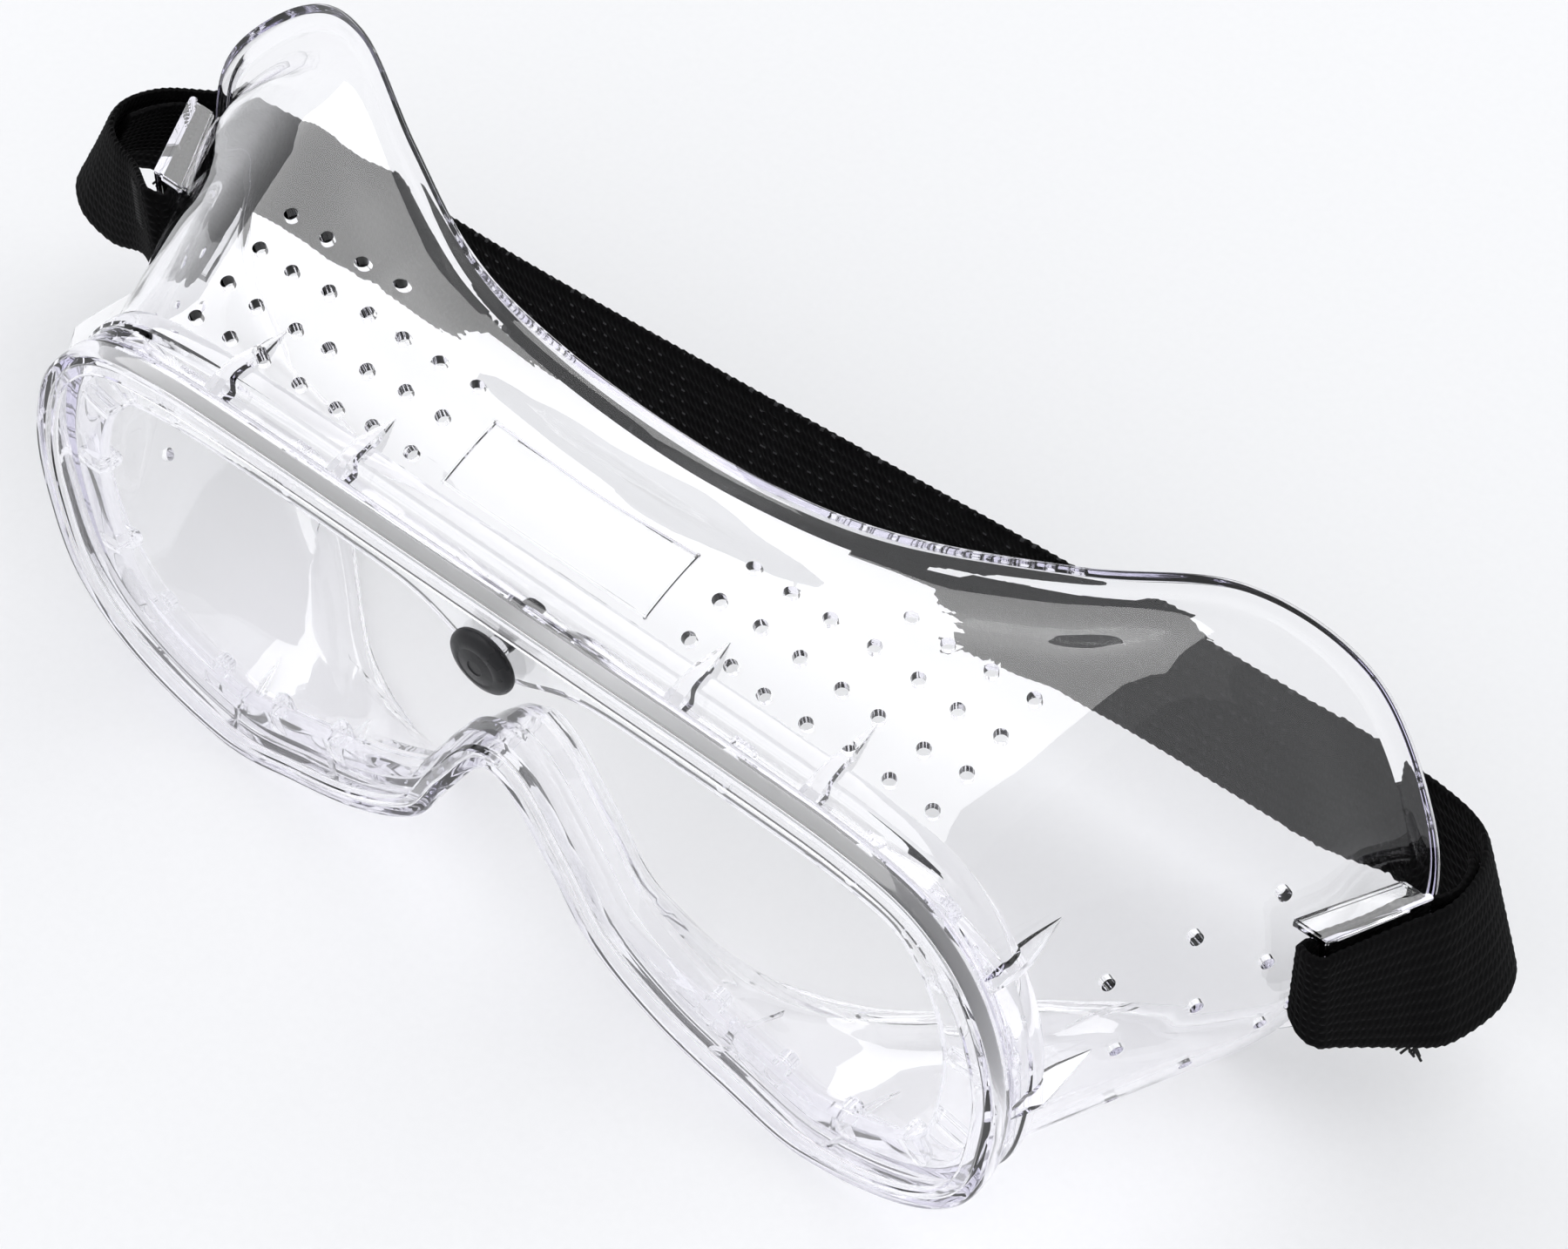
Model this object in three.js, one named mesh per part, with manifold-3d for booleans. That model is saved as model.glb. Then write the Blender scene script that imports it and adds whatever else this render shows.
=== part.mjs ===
// Safety goggles: a soft clear frame with direct vents, a flat clear lens held in a groove,
// a black lens stud and an elastic head strap looped round a lug at each temple.
//
// Frame of the part: millimetres, +Y from the lens towards the face, +Z up. Left and right are as
// seen from in front of the lens: +X is to the right, which is the wearer's left.
// The origin is on the lens's front face, on the plane of symmetry, above the nose arch.
import * as THREE from "three";
import { mergeVertices } from "three/addons/utils/BufferGeometryUtils.js";
import Module from "manifold-3d";

const wasm = await Module();
wasm.setup();

// Driving dimensions, in millimetres.
const GAP = 0.3; // clearance left between neighbouring pieces
const TABLE_Z = -43.5; // underside of the cheeks, the surface that the goggles stand on

const LENS_THICKNESS = 1.8;
const LENS_INSET = 1.7; // from the rim's outer outline to the lens's edge
const LENS_STEP = { inset: 3.4, depth: 0.15 }; // the edge is thinner where the rim's lip holds it
const STUD_SEAT_RADIUS = 5.2; // a shallow recess of the lens, round the stud's head

const RIM_FRONT_Y = -1.3;
const RIM_BACK_Y = 8.3;
const SKIRT_FRONT_Y = RIM_BACK_Y + GAP;
const SKIRT_INSET = 1.1;
const SKIRT_WALL = 1.5;
const LIP_WIDTH = 9; // the seat behind the lens
const NOSE_LIP = { width: 4.4, fromStation: 11.6, blend: 1.8 }; // it narrows round the nose arch

const STUD = { z: 11.7, stemRadius: 1.3, stemEnd: 6.6 };
const STUD_HEAD = { radius: 4.5, side: 1.1, dome: 1 }; // heights of its straight side and its dome
const STUD_HOLE_RADIUS = 1.65;
const STUD_BOSS = { radius: 6, back: 4.4 };

const VENT_RADIUS = 0.95;
const TOP_VENTS = { firstX: 20.4, pitchX: 5.67, firstY: 10.1, pitchY: 5.55, columns: 7 };
const TOP_VENT_ROWS = [0, 0, 0, 3]; // first column used in each row, from the lens to the face
const SIDE_VENT_COLUMNS = 3;
const SIDE_VENT_ROWS = [
  { y: 16.4, z: -0.2, pitch: 9.2, rise: 2.05 },
  { y: 16.7, z: -12.9, pitch: 8.4, rise: 3.25 },
  { y: 18.7, z: -28.1, pitch: 7.6, rise: 4.4 },
];

const LUG = { frontY: 35.9, backY: 48.4, top: -0.3, bottom: -17.4, shelf: 1.4, plate: 1.2 };
const LUG_SLOT = { front: 2.8, back: 1.9 };

const STRAP_THICKNESS = 1.2;
const STRAP_TOP = -2.2;
const STRAP_BOTTOM = -25.8;
const STRAP_FOLD_BOTTOM = -15.5; // the end is gathered to fit between the lug's shelves
const STRAP_TURN_BOTTOM = -19.5; // it spreads again as it leaves the turn
const STRAP_SPLIT_X = 70; // where the free band starts, at each side

// Half of the rim's outline, from the middle of the brow to the top of the nose arch: [x, z].
const RIM_OUTLINE = [
  [0, 22],
  [17, 22],
  [34, 22],
  [50, 21.3],
  [61, 18.3],
  [68.5, 10],
  [72.4, -2.5],
  [72.6, -14.5],
  [69.6, -28.6],
  [60.8, -38.2],
  [46, -43.3],
  [34, -40.6],
  [23, -36.6],
  [13.5, -29.6],
  [7.8, -19.5],
  [0, -8.8],
];

// The same stations on the edge that meets the face: [x, y, z].
const FACE_OUTLINE = [
  [0, 32.6, 19.3],
  [17, 31.6, 22.7],
  [32, 33.9, 25],
  [49.3, 42.4, 25.6],
  [65, 50.8, 27.3],
  [78.9, 55.3, 19.3],
  [89.7, 52.6, 7.2],
  [92.7, 50.8, -6.6],
  [89, 47.6, -24.2],
  [77, 43.8, -37.4],
  [60.5, 36.8, -45.2],
  [41.8, 21.6, -45.6],
  [26.4, 15.2, -43.9],
  [14.2, 11.4, -33],
  [7.9, 10.4, -20.4],
  [0, 10.4, -9.8],
];
const STATIONS = 2 * (RIM_OUTLINE.length - 1);
const STEPS_PER_STATION = 3;

// Skirt panels, as stations round the outline: the frame is one moulding, divided here.
const BROW_END = 4.35;
const TEMPLE_END = 8.6;
const CHEEK_END = 12.6;
const PANEL_GAP = 0.02; // in stations

const clearPvc = { color: 0xe9e7f2, roughness: 0.12, metalness: 0 };
const clearLens = { color: 0xf2f6f8, roughness: 0.03, metalness: 0 };
const blackPlastic = { color: 0x111113, roughness: 0.22, metalness: 0 };
const blackElastic = { color: 0x0c0c0d, roughness: 0.9, metalness: 0 };

// ---------------------------------------------------------------- solids

function solidFromGeometry(geometry) {
  const bare = geometry.index ? geometry.toNonIndexed() : geometry.clone();
  bare.deleteAttribute("normal");
  bare.deleteAttribute("uv");
  const merged = mergeVertices(bare, 1e-4);
  return new wasm.Manifold(
    new wasm.Mesh({
      numProp: 3,
      vertProperties: merged.attributes.position.array,
      triVerts: new Uint32Array(merged.index.array),
    }),
  );
}

function geometryFromSolid(solid) {
  const mesh = solid.getMesh();
  const points = new Float32Array(mesh.numVert * 3);
  for (let i = 0; i < mesh.numVert; i++) {
    points.set(mesh.vertProperties.subarray(i * mesh.numProp, i * mesh.numProp + 3), i * 3);
  }
  const geometry = new THREE.BufferGeometry();
  geometry.setAttribute("position", new THREE.BufferAttribute(points, 3));
  geometry.setIndex(new THREE.BufferAttribute(mesh.triVerts, 1));
  geometry.computeVertexNormals();
  return geometry;
}

// A grid of points wrapped into a closed surface. Rows run round a closed section.
// Where the sweep doesn't close on itself, both ends are capped.
function sweptGrid(rows, closedSweep) {
  const count = rows[0].length;
  const points = rows.flat().flatMap((p) => [p.x, p.y, p.z]);
  const faces = [];
  const at = (i, j) => (i % rows.length) * count + (j % count);
  const last = closedSweep ? rows.length : rows.length - 1;
  for (let i = 0; i < last; i++) {
    for (let j = 0; j < count; j++) {
      faces.push(at(i, j), at(i, j + 1), at(i + 1, j + 1));
      faces.push(at(i, j), at(i + 1, j + 1), at(i + 1, j));
    }
  }
  if (!closedSweep) {
    // The section is a two-sided strip, so its caps are made between its two sides.
    const half = count / 2;
    for (let j = 0; j < half - 1; j++) {
      const a = j;
      const b = j + 1;
      const c = count - 2 - j;
      const d = count - 1 - j;
      faces.push(at(0, a), at(0, c), at(0, b), at(0, a), at(0, d), at(0, c));
      const end = rows.length - 1;
      faces.push(at(end, a), at(end, b), at(end, c), at(end, a), at(end, c), at(end, d));
    }
  }
  const geometry = new THREE.BufferGeometry();
  geometry.setAttribute("position", new THREE.Float32BufferAttribute(points, 3));
  geometry.setIndex(faces);
  const solid = solidFromGeometry(geometry);
  if (solid.volume() > 0) return solid;
  geometry.setIndex(faces.reverse());
  return solidFromGeometry(geometry);
}

function extruded(shape, depth, matrix) {
  const geometry = new THREE.ExtrudeGeometry(shape, { depth, bevelEnabled: false });
  geometry.applyMatrix4(matrix);
  return solidFromGeometry(geometry);
}

// An outline in X and Z, given a thickness along Y.
function plateInXZ(points, fromY, toY) {
  const shape = new THREE.Shape(points.map((p) => new THREE.Vector2(p.x, -p.y)));
  const stand = new THREE.Matrix4().set(1, 0, 0, 0, 0, 0, 1, fromY, 0, -1, 0, 0, 0, 0, 0, 1);
  return extruded(shape, toY - fromY, stand);
}

// An outline in X and Y, given a height along Z.
function plateInXY(points, fromZ, toZ) {
  const shape = new THREE.Shape(points.map(([x, y]) => new THREE.Vector2(x, y)));
  return extruded(shape, toZ - fromZ, new THREE.Matrix4().makeTranslation(0, 0, fromZ));
}

function cylinderAlong(axis, radius, from, to, at, sides) {
  const geometry = new THREE.CylinderGeometry(radius, radius, to - from, sides);
  const middle = (from + to) / 2;
  const centre = at.clone();
  if (axis === "x") geometry.rotateZ(Math.PI / 2);
  if (axis === "z") geometry.rotateX(Math.PI / 2);
  centre[axis] = middle;
  geometry.translate(centre.x, centre.y, centre.z);
  return solidFromGeometry(geometry);
}

// ---------------------------------------------------------------- outlines

// The half list carried on round the other side of the plane of symmetry.
function wholeOutline(half, toVector) {
  const right = half.map(toVector);
  const left = right.slice(1, -1).reverse();
  return right.concat(left.map((p) => new THREE.Vector3(-p.x, p.y, p.z)));
}

const rimCurve = new THREE.CatmullRomCurve3(
  wholeOutline(RIM_OUTLINE, ([x, z]) => new THREE.Vector3(x, 0, z)),
  true,
  "catmullrom",
  0.5,
);
const faceCurve = new THREE.CatmullRomCurve3(
  wholeOutline(FACE_OUTLINE, ([x, y, z]) => new THREE.Vector3(x, y, z)),
  true,
  "catmullrom",
  0.5,
);

function share(station) {
  return (((station % STATIONS) + STATIONS) % STATIONS) / STATIONS;
}

// A point of the rim's outline moved outwards by an offset, at depth y.
function rimPoint(station, offset, y) {
  const p = rimCurve.getPoint(share(station));
  const before = rimCurve.getPoint(share(station - 0.02));
  const after = rimCurve.getPoint(share(station + 0.02));
  const along = after.sub(before).normalize();
  return new THREE.Vector3(p.x - along.z * offset, y, p.z + along.x * offset);
}

// A point of the skirt's outer surface: depth 0 at the rim, 1 at the face edge.
function skirtPoint(station, depth) {
  const start = rimPoint(station, -SKIRT_INSET, SKIRT_FRONT_Y);
  const end = faceCurve.getPoint(share(station));
  const p = start.lerp(end, depth);
  const browShare = Math.max(0, 1 - (p.x / 40) ** 2) * (p.z > 10 ? 1 : 0);
  p.z += 10 * depth * (1 - depth) * browShare;
  p.z = Math.max(p.z, TABLE_Z);
  return p;
}

function skirtNormal(station, depth) {
  const along = skirtPoint(station + 0.05, depth).sub(skirtPoint(station - 0.05, depth));
  const low = Math.max(0, depth - 0.02);
  const high = Math.min(1, depth + 0.02);
  const back = skirtPoint(station, high).sub(skirtPoint(station, low));
  const normal = along.cross(back);
  if (depth === 0) normal.y = 0;
  return normal.normalize();
}

// ---------------------------------------------------------------- frame

function lipWidth(station) {
  const half = Math.min(station, STATIONS - station);
  const noseShare = THREE.MathUtils.clamp((half - NOSE_LIP.fromStation) / NOSE_LIP.blend, 0, 1);
  return THREE.MathUtils.lerp(LIP_WIDTH, NOSE_LIP.width, noseShare);
}

// Section of the rim at a station: [outward offset, y].
function rimSection(station) {
  const lip = lipWidth(station);
  return [
    [-3, RIM_FRONT_Y],
    [-0.7, RIM_FRONT_Y],
    [0, RIM_FRONT_Y + 0.7],
    [0, 2.6],
    [-2.4, 2.9],
    [-2.4, 5.2],
    [-SKIRT_INSET, 5.5],
    [-SKIRT_INSET, RIM_BACK_Y],
    [-SKIRT_INSET - SKIRT_WALL - 0.4, RIM_BACK_Y],
    [-4.2, 4.2],
    [-lip, 3.7],
    [-lip, LENS_THICKNESS + GAP],
    [-LENS_INSET + GAP, LENS_THICKNESS + GAP],
    [-LENS_INSET + GAP, -GAP],
    [-3, -GAP],
  ];
}

function rimSolid() {
  const rows = [];
  for (let i = 0; i < STATIONS * STEPS_PER_STATION; i++) {
    const station = i / STEPS_PER_STATION;
    rows.push(rimSection(station).map(([offset, y]) => rimPoint(station, offset, y)));
  }
  return sweptGrid(rows, true);
}

// A gusset that bridges the channel between the two beads of the rim.
function gussetSolid(station) {
  const halfThickness = 0.45;
  const profile = [
    [-2.7, 2.3],
    [-0.1, 2.3],
    [-0.4, RIM_BACK_Y],
    [-SKIRT_INSET - 0.3, RIM_BACK_Y],
    [-2.7, 5.3],
  ];
  const middle = rimPoint(station, 0, 0);
  const along = rimPoint(station + 0.02, 0, 0).sub(middle).normalize();
  const rows = [-halfThickness, halfThickness].map((side) =>
    profile.map(([offset, y]) => rimPoint(station, offset, y).addScaledVector(along, side)),
  );
  const points = rows.flat().flatMap((p) => [p.x, p.y, p.z]);
  const n = profile.length;
  const faces = [];
  for (let j = 0; j < n; j++) {
    const k = (j + 1) % n;
    faces.push(j, k, n + k, j, n + k, n + j);
  }
  for (let j = 1; j < n - 1; j++) {
    faces.push(0, j + 1, j, n, n + j, n + j + 1);
  }
  const geometry = new THREE.BufferGeometry();
  geometry.setAttribute("position", new THREE.Float32BufferAttribute(points, 3));
  geometry.setIndex(faces);
  const solid = solidFromGeometry(geometry);
  if (solid.volume() > 0) return solid;
  geometry.setIndex(faces.reverse());
  return solidFromGeometry(geometry);
}

const GUSSET_STATIONS = [1.45, 2.6, 6.0, 7.3, 8.4, 10.2, 11.4];

function frameRim() {
  let rim = rimSolid();
  for (const station of GUSSET_STATIONS) {
    rim = rim.add(gussetSolid(station));
    rim = rim.add(gussetSolid(-station));
  }
  const studAt = new THREE.Vector3(0, 0, STUD.z);
  const seat = LENS_THICKNESS + GAP;
  rim = rim.add(cylinderAlong("y", STUD_BOSS.radius, seat, STUD_BOSS.back, studAt, 24));
  return rim.subtract(cylinderAlong("y", STUD_HOLE_RADIUS, 0, 9, studAt, 16));
}

// One panel of the skirt between two stations. Clearance moves its outer surface outwards.
function skirtPanel(fromStation, toStation, wall, clearance) {
  const from = fromStation + PANEL_GAP;
  const to = toStation - PANEL_GAP;
  const columns = Math.round((to - from) * STEPS_PER_STATION);
  const depths = [0, 0.2, 0.4, 0.6, 0.8, 1];
  const rows = [];
  for (let i = 0; i <= columns; i++) {
    const station = from + ((to - from) * i) / columns;
    const outer = [];
    const inner = [];
    for (const depth of depths) {
      const p = skirtPoint(station, depth);
      const normal = skirtNormal(station, depth);
      outer.push(p.clone().addScaledVector(normal, clearance));
      inner.push(p.clone().addScaledVector(normal, -wall));
    }
    rows.push(outer.concat(inner.reverse()));
  }
  return sweptGrid(rows, false);
}

function browPanel() {
  let panel = skirtPanel(-BROW_END, BROW_END, SKIRT_WALL, 0);
  for (const side of [-1, 1]) {
    TOP_VENT_ROWS.forEach((firstColumn, row) => {
      for (let column = firstColumn; column < TOP_VENTS.columns; column++) {
        const x = side * (TOP_VENTS.firstX + TOP_VENTS.pitchX * column);
        const y = TOP_VENTS.firstY + TOP_VENTS.pitchY * row;
        const at = new THREE.Vector3(x, y, 0);
        panel = panel.subtract(cylinderAlong("z", VENT_RADIUS, 12, 30, at, 8));
      }
    });
  }
  return panel;
}

function templePanel(side) {
  const stations = side > 0 ? [BROW_END, TEMPLE_END] : [-TEMPLE_END, -BROW_END];
  let panel = skirtPanel(stations[0], stations[1], SKIRT_WALL, 0);
  for (const row of SIDE_VENT_ROWS) {
    for (let column = 0; column < SIDE_VENT_COLUMNS; column++) {
      const at = new THREE.Vector3(0, row.y + row.pitch * column, row.z + row.rise * column);
      const from = side > 0 ? 55 : -100;
      panel = panel.subtract(cylinderAlong("x", VENT_RADIUS, from, from + 45, at, 8));
    }
  }
  return panel;
}

// ---------------------------------------------------------------- lugs

// The temple wall's outer surface in plan, at the lug's middle height.
function wallX(y) {
  const front = rimPoint(7, -SKIRT_INSET, 0).x;
  const back = FACE_OUTLINE[7][0];
  return front + ((back - front) * (y - SKIRT_FRONT_Y)) / (FACE_OUTLINE[7][1] - SKIRT_FRONT_Y);
}

function lugSolid() {
  const insideFront = wallX(LUG.frontY) + LUG_SLOT.front;
  const insideBack = wallX(LUG.backY) + LUG_SLOT.back;
  const plate = plateInXY(
    [
      [insideFront, LUG.frontY],
      [insideFront + LUG.plate, LUG.frontY],
      [insideBack + LUG.plate, LUG.backY],
      [insideBack, LUG.backY],
    ],
    LUG.bottom,
    LUG.top,
  );
  const shelfOutline = [
    [wallX(LUG.frontY) - 3, LUG.frontY],
    [insideFront + 0.4, LUG.frontY],
    [insideBack + 0.4, LUG.backY - 3],
    [wallX(LUG.backY) - 4, LUG.backY - 3],
  ];
  const topShelf = plateInXY(shelfOutline, LUG.top - LUG.shelf, LUG.top);
  const bottomShelf = plateInXY(shelfOutline, LUG.bottom, LUG.bottom + LUG.shelf);
  const wall = skirtPanel(BROW_END, TEMPLE_END, 8, GAP);
  return plate.add(topShelf).add(bottomShelf).subtract(wall);
}

function mirrored(solid) {
  const geometry = geometryFromSolid(solid);
  geometry.deleteAttribute("normal");
  const points = geometry.attributes.position;
  for (let i = 0; i < points.count; i++) points.setX(i, -points.getX(i));
  const turned = Array.from(geometry.index.array).reverse();
  geometry.setIndex(turned);
  return solidFromGeometry(geometry);
}

// ---------------------------------------------------------------- strap

// Stations of the strap's middle line: [x, y, z] of its top edge, then of its bottom edge.
function upright(x, y, bottom = STRAP_BOTTOM) {
  return { top: [x, y, STRAP_TOP], bottom: [x, y, bottom] };
}

function leaning(top, bottom, bottomZ = STRAP_BOTTOM) {
  return { top: [...top, STRAP_TOP], bottom: [...bottom, bottomZ] };
}

// The gathered end inside the lug's slot and the turn round the front of its plate.
function foldedEnd(side, turnSteps) {
  const fold = [];
  const slotMiddle = (y) => wallX(y) + (y > 45 ? LUG_SLOT.back : LUG_SLOT.front) / 2;
  fold.push(upright(side * slotMiddle(47), 47, STRAP_FOLD_BOTTOM));
  fold.push(upright(side * (slotMiddle(42) + 0.1), 42, STRAP_FOLD_BOTTOM));
  const centreX = wallX(LUG.frontY) + LUG_SLOT.front + LUG.plate / 2;
  const radius = 2.0;
  for (let i = 0; i <= turnSteps; i++) {
    const angle = Math.PI + (Math.PI * i) / 4;
    const x = centreX + radius * Math.cos(angle);
    const y = LUG.frontY - 0.2 + radius * Math.sin(angle);
    const bottom = THREE.MathUtils.lerp(STRAP_FOLD_BOTTOM, STRAP_TURN_BOTTOM, i / 4);
    fold.push(upright(side * x, y, bottom));
  }
  return fold;
}

const RIGHT_END = [
  ...foldedEnd(1, 4),
  leaning([93.7, 43], [95, 43.3], -24.3),
  leaning([96.2, 50], [99.2, 50]),
  leaning([95.6, 56.2], [100.6, 57.4]),
  leaning([92.3, 60.6], [98, 63]),
  leaning([85.8, 62.2], [89.5, 64.3]),
  leaning([78, 62.3], [79, 63]),
  upright(STRAP_SPLIT_X, 62),
];

const LEFT_END = [
  ...foldedEnd(-1, 2),
  leaning([-93.6, 36.6], [-96, 38], -21.5),
  leaning([-97.4, 37.6], [-103, 38.9], -25),
  leaning([-100.6, 39.9], [-109.4, 40], -24.3),
  leaning([-101.6, 43.6], [-112.6, 43.6], -23),
  leaning([-99.8, 47.4], [-109, 49.5], -23.6),
  leaning([-96, 50.4], [-101.5, 53], -24.6),
  leaning([-90, 53.8], [-92.5, 54.8]),
  upright(-82, 55),
  upright(-STRAP_SPLIT_X, 54.8),
];

const BAND = [
  upright(STRAP_SPLIT_X, 62),
  upright(35.9, 60.6),
  upright(-8.8, 57.5),
  upright(-45, 55.2),
  upright(-STRAP_SPLIT_X, 54.8),
];

// A flat band standing on edge, swept along its stations.
function bandSolid(stations, steps, startGap, endGap) {
  const curve = (key) =>
    new THREE.CatmullRomCurve3(
      stations.map((s) => new THREE.Vector3(...s[key])),
      false,
      "catmullrom",
      0.5,
    );
  const top = curve("top");
  const bottom = curve("bottom");
  const rows = [];
  for (let i = 0; i <= steps; i++) {
    const t = i / steps;
    const ends = [top, bottom].map((edge) => {
      const p = edge.getPoint(t);
      const along = edge.getTangent(t);
      if (i === 0) p.addScaledVector(along, startGap);
      if (i === steps) p.addScaledVector(along, -endGap);
      const across = new THREE.Vector3(-along.y, along.x, 0).normalize();
      return { p, across: across.multiplyScalar(STRAP_THICKNESS / 2) };
    });
    rows.push([
      ends[0].p.clone().add(ends[0].across),
      ends[1].p.clone().add(ends[1].across),
      ends[1].p.clone().sub(ends[1].across),
      ends[0].p.clone().sub(ends[0].across),
    ]);
  }
  return sweptGrid(rows, false);
}

// ---------------------------------------------------------------- lens and stud

function lensPlate(inset, fromY, toY) {
  const outline = [];
  for (let i = 0; i < STATIONS * STEPS_PER_STATION; i++) {
    const p = rimPoint(i / STEPS_PER_STATION, -inset, 0);
    outline.push(new THREE.Vector2(p.x, p.z));
  }
  return plateInXZ(outline, fromY, toY);
}

function lensSolid() {
  const edge = lensPlate(LENS_INSET, LENS_STEP.depth, LENS_THICKNESS);
  const front = lensPlate(LENS_STEP.inset, 0, LENS_THICKNESS);
  const studAt = new THREE.Vector3(0, 0, STUD.z);
  return edge
    .add(front)
    .subtract(cylinderAlong("y", STUD_SEAT_RADIUS, -1, LENS_STEP.depth, studAt, 24))
    .subtract(cylinderAlong("y", STUD_HOLE_RADIUS, -1, 3, studAt, 16));
}

function studGeometry() {
  const sideEnd = -GAP - STUD_HEAD.side;
  const profile = [new THREE.Vector2(0, STUD.stemEnd)];
  profile.push(new THREE.Vector2(STUD.stemRadius - 0.4, STUD.stemEnd));
  profile.push(new THREE.Vector2(STUD.stemRadius, STUD.stemEnd - 0.6));
  profile.push(new THREE.Vector2(STUD.stemRadius, -GAP));
  profile.push(new THREE.Vector2(STUD_HEAD.radius, -GAP));
  profile.push(new THREE.Vector2(STUD_HEAD.radius, sideEnd));
  const domeSteps = 4;
  for (let i = 1; i <= domeSteps; i++) {
    const angle = (Math.PI / 2) * (i / domeSteps);
    const radius = i === domeSteps ? 0 : STUD_HEAD.radius * Math.cos(angle);
    profile.push(new THREE.Vector2(radius, sideEnd - STUD_HEAD.dome * Math.sin(angle)));
  }
  const geometry = new THREE.LatheGeometry(profile.reverse(), 24);
  geometry.translate(0, 0, STUD.z);
  return geometry;
}

// ---------------------------------------------------------------- assembly

const goggles = new THREE.Group();

function addPiece(name, solid, look) {
  const mesh = new THREE.Mesh(geometryFromSolid(solid), new THREE.MeshStandardMaterial(look));
  mesh.name = name;
  goggles.add(mesh);
}

const lug = lugSolid();

addPiece("frame_rim", frameRim(), clearPvc);
addPiece("frame_brow", browPanel(), clearPvc);
addPiece("frame_temple_left", templePanel(-1), clearPvc);
addPiece("frame_temple_right", templePanel(1), clearPvc);
addPiece("frame_cheek_left", skirtPanel(-CHEEK_END, -TEMPLE_END, SKIRT_WALL, 0), clearPvc);
addPiece("frame_cheek_right", skirtPanel(TEMPLE_END, CHEEK_END, SKIRT_WALL, 0), clearPvc);
addPiece("frame_nose", skirtPanel(CHEEK_END, STATIONS - CHEEK_END, SKIRT_WALL, 0), clearPvc);
addPiece("lug_left", mirrored(lug), clearPvc);
addPiece("lug_right", lug, clearPvc);
addPiece("lens", lensSolid(), clearLens);
addPiece("lens_stud", solidFromGeometry(studGeometry()), blackPlastic);
addPiece("strap_end_left", bandSolid(LEFT_END, 60, 0, GAP / 2), blackElastic);
addPiece("strap_end_right", bandSolid(RIGHT_END, 60, 0, GAP / 2), blackElastic);
addPiece("strap_band", bandSolid(BAND, 16, GAP / 2, GAP / 2), blackElastic);

export default goggles;
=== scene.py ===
"""The looks of the safety goggles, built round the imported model: metres, +Y to the face, +Z up."""

import math
import random

import bmesh
import bpy
import numpy as np
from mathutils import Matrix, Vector


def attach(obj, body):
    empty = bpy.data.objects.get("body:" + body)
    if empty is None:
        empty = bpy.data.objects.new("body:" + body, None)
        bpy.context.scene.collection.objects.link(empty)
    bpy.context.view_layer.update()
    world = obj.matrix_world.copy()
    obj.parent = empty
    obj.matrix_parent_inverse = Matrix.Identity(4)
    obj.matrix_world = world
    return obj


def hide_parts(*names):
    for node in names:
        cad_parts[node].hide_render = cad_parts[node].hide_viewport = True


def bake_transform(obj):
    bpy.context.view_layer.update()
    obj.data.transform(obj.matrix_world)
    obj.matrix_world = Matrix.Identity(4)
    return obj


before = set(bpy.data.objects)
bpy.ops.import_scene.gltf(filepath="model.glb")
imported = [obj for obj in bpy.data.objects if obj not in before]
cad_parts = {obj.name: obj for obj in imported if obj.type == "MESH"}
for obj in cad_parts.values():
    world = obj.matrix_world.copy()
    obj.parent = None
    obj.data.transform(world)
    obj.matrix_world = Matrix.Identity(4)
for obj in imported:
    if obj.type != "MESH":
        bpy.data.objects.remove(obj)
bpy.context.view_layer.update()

MM = 0.001
# Shapes are in millimetres. Materials, the stage, the lamps and the camera are in metres.
TABLE_Z = -43.5

# ---------------------------------------------------------------- outlines, as in the CAD

RIM_OUTLINE = [
    (0, 22), (17, 22), (34, 22), (50, 21.3), (61, 18.3), (68.5, 10), (72.4, -2.5), (72.6, -14.5),
    (69.6, -28.6), (60.8, -38.2), (46, -43.3), (34, -40.6), (23, -36.6), (13.5, -29.6),
    (7.8, -19.5), (0, -8.8),
]
FACE_OUTLINE = [
    (0, 32.6, 19.3), (17, 31.6, 22.7), (32, 33.9, 25), (49.3, 42.4, 25.6), (65, 50.8, 27.3),
    (78.9, 55.3, 19.3), (89.7, 52.6, 7.2), (92.7, 50.8, -6.6), (89, 47.6, -24.2),
    (77, 43.8, -37.4), (60.5, 36.8, -45.2), (41.8, 21.6, -45.6), (26.4, 15.2, -43.9),
    (14.2, 11.4, -33), (7.9, 10.4, -20.4), (0, 10.4, -9.8),
]
STATIONS = 2 * (len(RIM_OUTLINE) - 1)
COLUMNS = 480  # round the whole frame
SKIRT_FRONT = 8.6
SKIRT_INSET = 1.1
SKIRT_CROWN = {"rise": 10, "half_width": 40, "above": 10}  # the brow bulges upwards
WALL = 1.5
STUD_Z = 11.7
STUD_HOLE_RADIUS = 1.5
# The seat behind the lens: it narrows round the nose arch, and has a lobe round the stud.
LIP = {
    "width": 9, "nose_width": 4.4, "nose_from": 11.6, "nose_blend": 1.8,
    "lobe": 5.6, "lobe_x": 8.5, "lobe_stations": 4,
}


def whole(half):
    """A closed outline from its right half and that half's mirror image."""
    right = [tuple(p) for p in half]
    left = [(-p[0],) + tuple(p[1:]) for p in right[1:-1]]
    return np.array(right + left[::-1], float)


def catmull_piece(t, p0, p1, p2, p3):
    """Points between p1 and p2, at shares t of the way."""
    m1, m2 = (p2 - p0) / 2, (p3 - p1) / 2
    return (
        (2 * t**3 - 3 * t**2 + 1) * p1 + (t**3 - 2 * t**2 + t) * m1
        + (-2 * t**3 + 3 * t**2) * p2 + (t**3 - t**2) * m2
    )


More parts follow.
